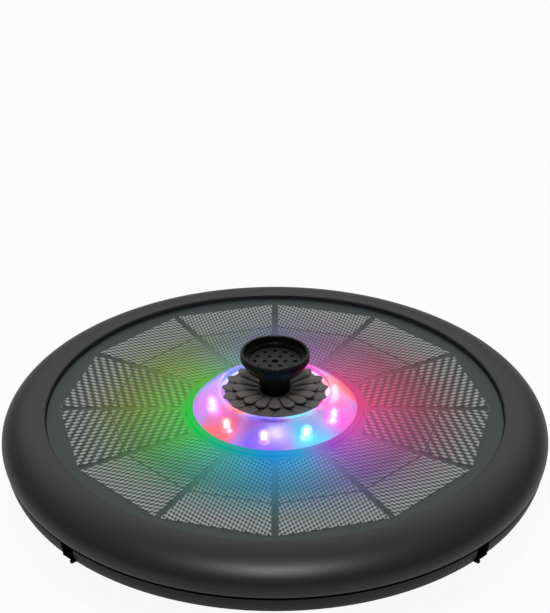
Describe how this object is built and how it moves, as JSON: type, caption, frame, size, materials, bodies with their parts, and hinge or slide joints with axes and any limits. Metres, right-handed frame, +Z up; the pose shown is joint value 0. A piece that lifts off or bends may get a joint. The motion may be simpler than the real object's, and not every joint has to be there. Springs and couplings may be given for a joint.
{
  "type": "solar fountain pump",
  "caption": "Round floating fountain pump with a solar panel deck, a lit lens ring, a petal rosette and a pull-off spray nozzle, on a black float ring.",
  "frame": {"origin": "on the fountain's axis, at the bottom edge of the pump well's wall, where the part stands", "axes": "+Z up along the fountain's axis, -Y towards the picture's viewer, +X to the viewer's right"},
  "size_m": [0.2784, 0.2784, 0.0825],
  "materials": {
    "shell_top": "fine satin moulded",
    "shell_base": "satin moulded",
    "seal_rubber": "matt",
    "socket_plastic": "satin moulded",
    "screw_steel": "bright",
    "panel_backing": "laminate",
    "solar_cell": "printed contact mesh on silicon",
    "panel_glaze": "clear cast resin",
    "tray_plastic": "white reflector",
    "board_white": "white solder mask",
    "led_glow": "lit epoxy domes",
    "lens_clear": "clear moulded",
    "rosette_plastic": "matt moulded",
    "nozzle_plastic": "gloss moulded",
    "pump_plastic": "moulded",
    "impeller_plastic": "natural moulded",
    "magnet_ferrite": "sintered",
    "shaft_ceramic": "ground",
    "core_steel": "laminated",
    "coil_copper": "enamelled wire",
    "filter_foam": "open foam",
    "battery_wrap": "foil pouch",
    "board_green": "solder mask",
    "component_black": "moulded",
    "button_rubber": "soft touch",
    "wire_red": "insulated",
    "wire_grey": "insulated",
    "wire_black": "insulated"
  },
  "bodies": {
    "float": {"upper_shell": "shell_top", "lower_shell": "shell_base", "seam_seal": "seal_rubber", "arm_sockets": "socket_plastic", "shell_screws": "screw_steel", "panel_board": "panel_backing", "inner_cells": "solar_cell", "outer_cells": "solar_cell", "panel_cover": "panel_glaze", "led_tray": "tray_plastic", "led_board": "board_white", "leds": "led_glow", "led_lens": "lens_clear", "lotus_rosette": "rosette_plastic", "riser_tube": "nozzle_plastic", "riser_seal": "seal_rubber", "nozzle_seal": "seal_rubber", "pump_body": "pump_plastic", "pump_lid": "pump_plastic", "pump_rear_cap": "pump_plastic", "pump_seal": "seal_rubber", "pump_screws": "screw_steel", "rotor_shaft": "shaft_ceramic", "shaft_bushes": "seal_rubber", "stator_core": "core_steel", "stator_coils": "coil_copper", "battery_cells": "battery_wrap", "battery_holders": "pump_plastic", "control_board": "board_green", "board_components": "component_black", "board_screws": "screw_steel", "switch_body": "component_black", "panel_leads": "wire_red", "led_leads": "wire_grey", "pump_lead": "wire_black", "pump_grommet": "seal_rubber", "battery_leads": "wire_red"},
    "nozzle": {"nozzle_head": "nozzle_plastic", "jet_plate": "nozzle_plastic"},
    "rotor": {"impeller": "impeller_plastic", "rotor_magnet": "magnet_ferrite"},
    "intake": {"intake_cover": "pump_plastic", "intake_sponge": "filter_foam"},
    "button": {"button_cap": "button_rubber"}
  },
  "joints": [
    {"name": "nozzle_pull", "type": "slide", "parent": "float", "child": "nozzle", "axis": [0, 0, 1], "range_m": [0, 0.03]},
    {"name": "rotor_spin", "type": "hinge", "parent": "float", "child": "rotor", "pos_m": [-0.009, 0, 0.026], "axis": [0, 1, 0], "continuous": true},
    {"name": "intake_twist", "type": "hinge", "parent": "float", "child": "intake", "pos_m": [0, 0, 0], "axis": [0, 0, 1], "range_deg": [0, 25]},
    {"name": "button_press", "type": "slide", "parent": "float", "child": "button", "axis": [0, 0, 1], "range_m": [0, 0.001], "stiffness_N_per_m": 400, "springref_m": -0.001}
  ]
}
